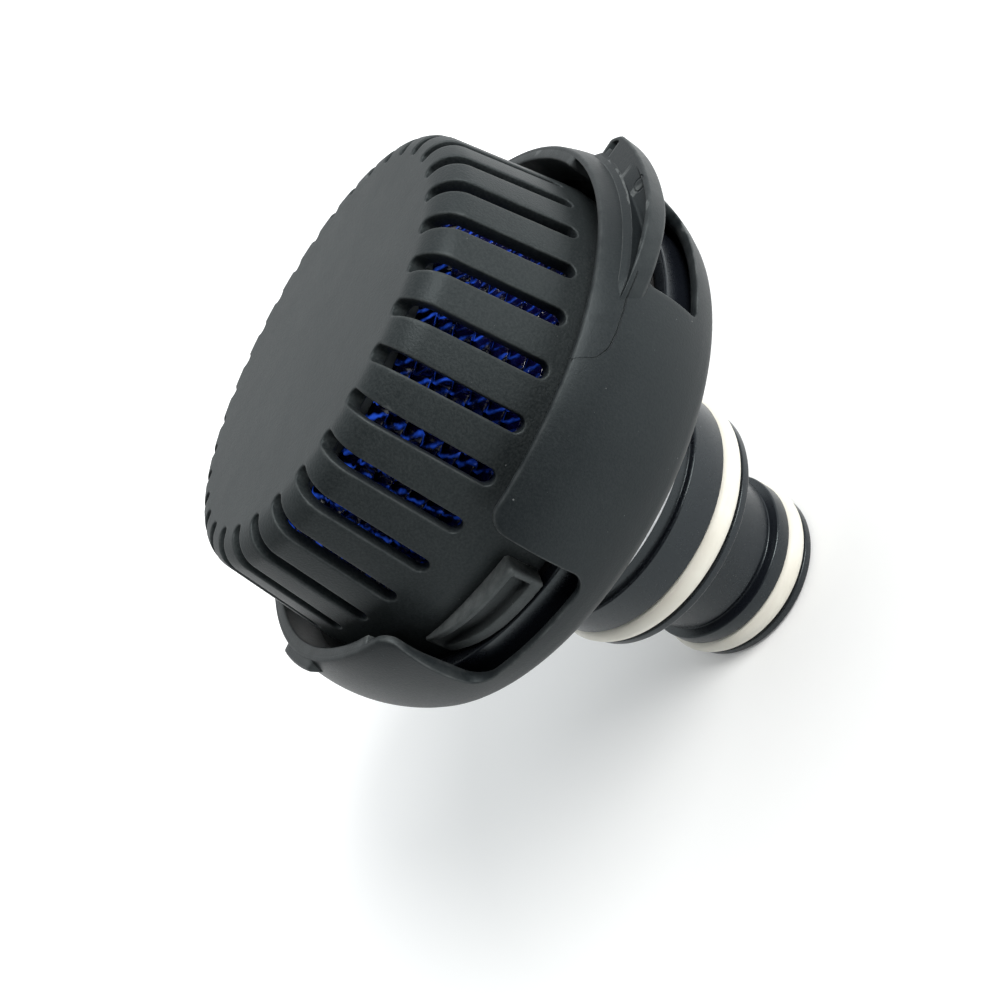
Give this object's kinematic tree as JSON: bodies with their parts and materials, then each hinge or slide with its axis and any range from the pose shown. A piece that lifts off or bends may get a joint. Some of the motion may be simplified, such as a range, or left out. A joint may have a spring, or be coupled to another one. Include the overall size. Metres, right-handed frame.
{
  "type": "pump intake strainer",
  "caption": "Plug-in strainer head for a circulation pump: slotted cage over a grooved ring filter, twist-lock collar and a stepped spigot sealed by ivory O-rings.",
  "frame": {"origin": "centre of the spigot's end face, on the part's axis", "axes": "+Z along the axis from the spigot's end to the cage's front face, -Y towards the side with the open lug notch"},
  "size_m": [0.1065, 0.106, 0.1087],
  "materials": {
    "cage_plastic": "fine moulded grain",
    "collar_plastic": "smooth moulded satin",
    "body_plastic": "smooth, slightly glossy",
    "ivory_rubber": "smooth off-white elastomer",
    "black_rubber": "matt black elastomer",
    "blue_plastic": "clear deep blue, glossy",
    "inner_plastic": "plain moulded",
    "spring_steel": "drawn stainless"
  },
  "bodies": {
    "body": {"spigot_body": "body_plastic", "large_o_ring": "ivory_rubber", "small_o_ring": "ivory_rubber", "retaining_ring": "spring_steel", "thrust_washer": "inner_plastic", "core_spine": "inner_plastic", "core_seal": "black_rubber", "back_plate": "inner_plastic", "pack_spring": "spring_steel", "filter_ring_1": "blue_plastic", "filter_ring_2": "blue_plastic", "filter_ring_3": "blue_plastic", "filter_ring_4": "blue_plastic", "filter_ring_5": "blue_plastic", "filter_ring_6": "blue_plastic", "filter_ring_7": "blue_plastic", "filter_ring_8": "blue_plastic", "front_plate": "inner_plastic", "core_washer": "spring_steel", "core_screw": "spring_steel"},
    "collar": {"lock_collar": "collar_plastic"},
    "cage": {"strainer_cage": "cage_plastic", "cage_seal": "black_rubber"}
  },
  "joints": [
    {"name": "collar_twist", "type": "hinge", "parent": "body", "child": "collar", "pos_m": [0, 0, 0.0655], "axis": [0, 0, 1], "range_deg": [0, 30]},
    {"name": "cage_lift", "type": "slide", "parent": "body", "child": "cage", "axis": [0, 0, 1], "range_m": [0, 0.03]}
  ]
}
